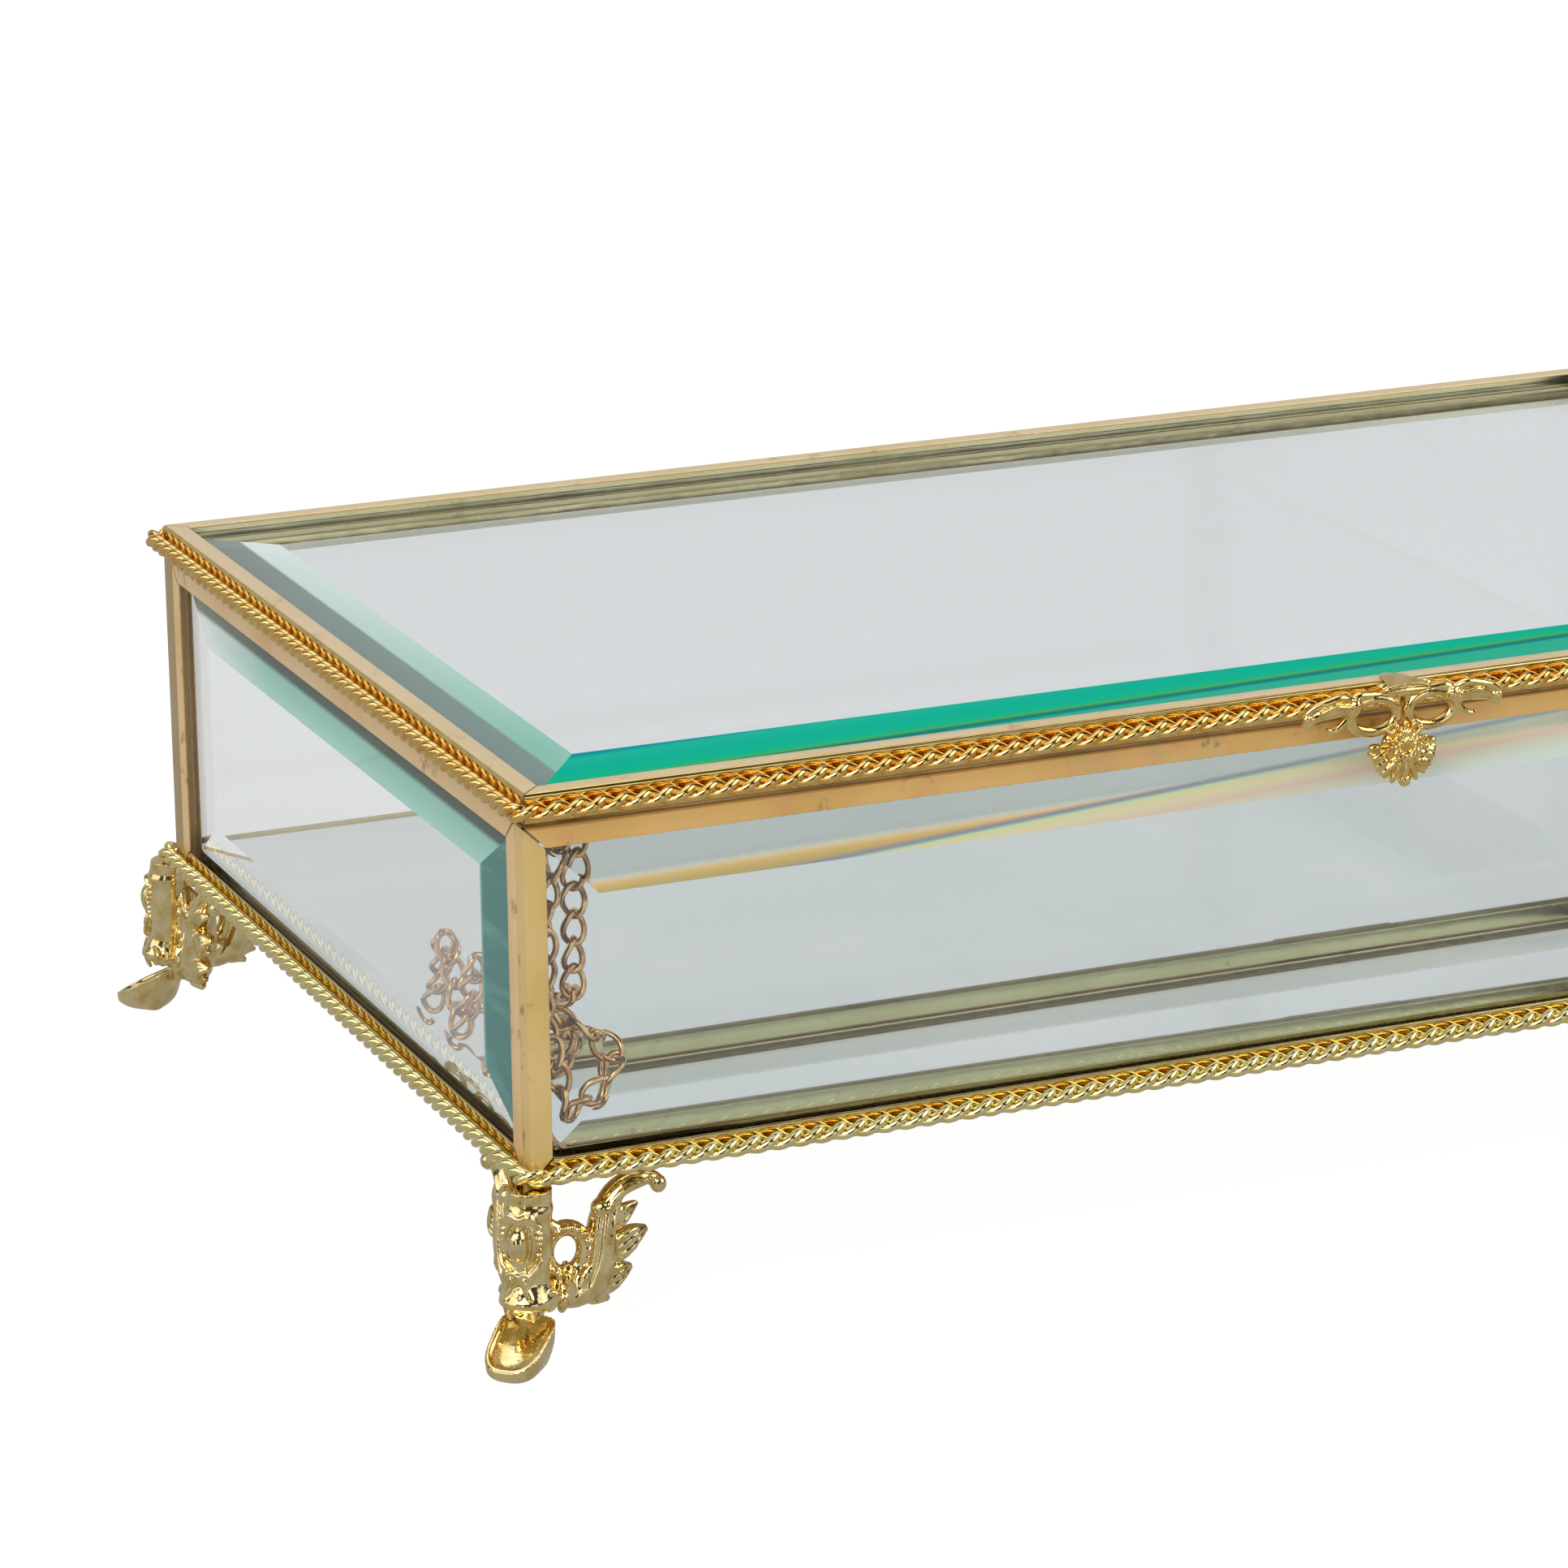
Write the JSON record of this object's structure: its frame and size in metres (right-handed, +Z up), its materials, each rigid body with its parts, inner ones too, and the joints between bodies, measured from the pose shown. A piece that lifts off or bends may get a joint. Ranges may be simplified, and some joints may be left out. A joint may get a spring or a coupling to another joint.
{
  "type": "vanity trinket box",
  "caption": "Hinged vanity box of bevelled glass in folded brass, with twisted rope trim, cast scroll feet, a mirrored floor and a stay chain for the lid.",
  "frame": {"origin": "under the middle of the box, on the surface the feet stand on", "axes": "+X runs along the front to the right, +Y from the front to the back, +Z up"},
  "size_m": [0.2704, 0.1716, 0.0782],
  "materials": {
    "folded_brass": "satin folded brass sheet with faint solder stains",
    "gold_plate": "polished pale gold plate",
    "chain_gilt": "worn gilt chain",
    "glass": "clear plate glass with ground and polished bevels",
    "mirror": "silvered mirror glass",
    "felt": "dark felt"
  },
  "bodies": {
    "box": {"back_bottom_rail": "folded_brass", "back_glass": "glass", "back_top_rail": "folded_brass", "back_upright_1": "folded_brass", "back_upright_2": "folded_brass", "base_plate": "folded_brass", "foot_back_left": "gold_plate", "foot_back_right": "gold_plate", "foot_front_left": "gold_plate", "foot_front_right": "gold_plate", "front_bottom_rail": "folded_brass", "front_glass": "glass", "front_top_rail": "folded_brass", "front_upright_1": "folded_brass", "front_upright_2": "folded_brass", "hinge_body_leaf_left": "folded_brass", "hinge_body_leaf_right": "folded_brass", "hinge_pin_left": "folded_brass", "hinge_pin_right": "folded_brass", "left_bottom_rail": "folded_brass", "left_glass": "glass", "left_top_rail": "folded_brass", "left_upright_1": "folded_brass", "left_upright_2": "folded_brass", "lower_rope": "gold_plate", "mirror_felt_pad": "felt", "mirror_floor": "mirror", "right_bottom_rail": "folded_brass", "right_glass": "glass", "right_top_rail": "folded_brass", "right_upright_1": "folded_brass", "right_upright_2": "folded_brass", "stay_eye_body": "folded_brass"},
    "lid": {"hinge_lid_leaf_left": "folded_brass", "hinge_lid_leaf_right": "folded_brass", "lid_back_rail": "folded_brass", "lid_front_rail": "folded_brass", "lid_glass": "glass", "lid_left_rail": "folded_brass", "lid_lift": "gold_plate", "lid_right_rail": "folded_brass", "lid_rope": "gold_plate", "stay_eye_lid": "folded_brass"},
    "stay_drop": {"stay_chain_01": "chain_gilt", "stay_chain_02": "chain_gilt", "stay_chain_03": "chain_gilt"},
    "stay_fold_1": {"stay_chain_04": "chain_gilt"},
    "stay_fold_2": {"stay_chain_05": "chain_gilt"},
    "stay_fold_3": {"stay_chain_06": "chain_gilt"},
    "stay_fold_4": {"stay_chain_07": "chain_gilt"},
    "stay_fold_5": {"stay_chain_08": "chain_gilt"},
    "stay_fold_6": {"stay_chain_09": "chain_gilt"},
    "stay_fold_7": {"stay_chain_10": "chain_gilt"},
    "stay_fold_8": {"stay_chain_11": "chain_gilt"},
    "stay_return": {"stay_chain_12": "chain_gilt", "stay_chain_13": "chain_gilt", "stay_chain_14": "chain_gilt"},
    "stay_rise": {"stay_chain_15": "chain_gilt", "stay_chain_16": "chain_gilt"}
  },
  "joints": [
    {"name": "lid_hinge", "type": "hinge", "parent": "box", "child": "lid", "pos_m": [0, 0.0789, 0.0731], "axis": [-1, 0, 0], "range_deg": [0, 97.96]},
    {"name": "stay_drop_pivot", "type": "hinge", "parent": "box", "child": "stay_drop", "pos_m": [-0.1187, -0.0705, 0.071], "axis": [-1, 0, 0], "range_deg": [-132.75, 2]},
    {"name": "stay_fold_1_pivot", "type": "hinge", "parent": "stay_drop", "child": "stay_fold_1", "pos_m": [-0.1187, -0.0705, 0.0308], "axis": [-1, 0, 0], "range_deg": [-2, 156.18]},
    {"name": "stay_fold_2_pivot", "type": "hinge", "parent": "stay_fold_1", "child": "stay_fold_2", "pos_m": [-0.1187, -0.0645, 0.0432], "axis": [-1, 0, 0], "range_deg": [-130.36, 2]},
    {"name": "stay_fold_3_pivot", "type": "hinge", "parent": "stay_fold_2", "child": "stay_fold_3", "pos_m": [-0.1187, -0.0585, 0.0308], "axis": [-1, 0, 0], "range_deg": [-2, 130.36]},
    {"name": "stay_fold_4_pivot", "type": "hinge", "parent": "stay_fold_3", "child": "stay_fold_4", "pos_m": [-0.1187, -0.0525, 0.0432], "axis": [-1, 0, 0], "range_deg": [-130.36, 2]},
    {"name": "stay_fold_5_pivot", "type": "hinge", "parent": "stay_fold_4", "child": "stay_fold_5", "pos_m": [-0.1187, -0.0465, 0.0308], "axis": [-1, 0, 0], "range_deg": [-2, 130.36]},
    {"name": "stay_fold_6_pivot", "type": "hinge", "parent": "stay_fold_5", "child": "stay_fold_6", "pos_m": [-0.1187, -0.0405, 0.0432], "axis": [-1, 0, 0], "range_deg": [-130.36, 2]},
    {"name": "stay_fold_7_pivot", "type": "hinge", "parent": "stay_fold_6", "child": "stay_fold_7", "pos_m": [-0.1187, -0.0345, 0.0308], "axis": [-1, 0, 0], "range_deg": [-2, 130.36]},
    {"name": "stay_fold_8_pivot", "type": "hinge", "parent": "stay_fold_7", "child": "stay_fold_8", "pos_m": [-0.1187, -0.0285, 0.0432], "axis": [-1, 0, 0], "range_deg": [-130.36, 2]},
    {"name": "stay_rise_pivot", "type": "hinge", "parent": "lid", "child": "stay_rise", "pos_m": [-0.1149, -0.0649, 0.0717], "axis": [-1, 0, 0], "range_deg": [-50.71, 2]},
    {"name": "stay_return_pivot", "type": "hinge", "parent": "stay_rise", "child": "stay_return", "pos_m": [-0.1149, -0.0649, 0.0452], "axis": [-1, 0, 0], "range_deg": [-2, 73.24]}
  ],
  "couplings": [
    {"joint": "stay_drop_pivot", "follows": "lid_hinge", "ratio": -1.3347},
    {"joint": "stay_fold_1_pivot", "follows": "lid_hinge", "ratio": 1.5739},
    {"joint": "stay_fold_2_pivot", "follows": "lid_hinge", "ratio": -1.3103},
    {"joint": "stay_fold_3_pivot", "follows": "lid_hinge", "ratio": 1.3103},
    {"joint": "stay_fold_4_pivot", "follows": "lid_hinge", "ratio": -1.3103},
    {"joint": "stay_fold_5_pivot", "follows": "lid_hinge", "ratio": 1.3103},
    {"joint": "stay_fold_6_pivot", "follows": "lid_hinge", "ratio": -1.3103},
    {"joint": "stay_fold_7_pivot", "follows": "lid_hinge", "ratio": 1.3103},
    {"joint": "stay_fold_8_pivot", "follows": "lid_hinge", "ratio": -1.3103},
    {"joint": "stay_rise_pivot", "follows": "lid_hinge", "ratio": -0.49725},
    {"joint": "stay_return_pivot", "follows": "lid_hinge", "ratio": 0.72725}
  ]
}
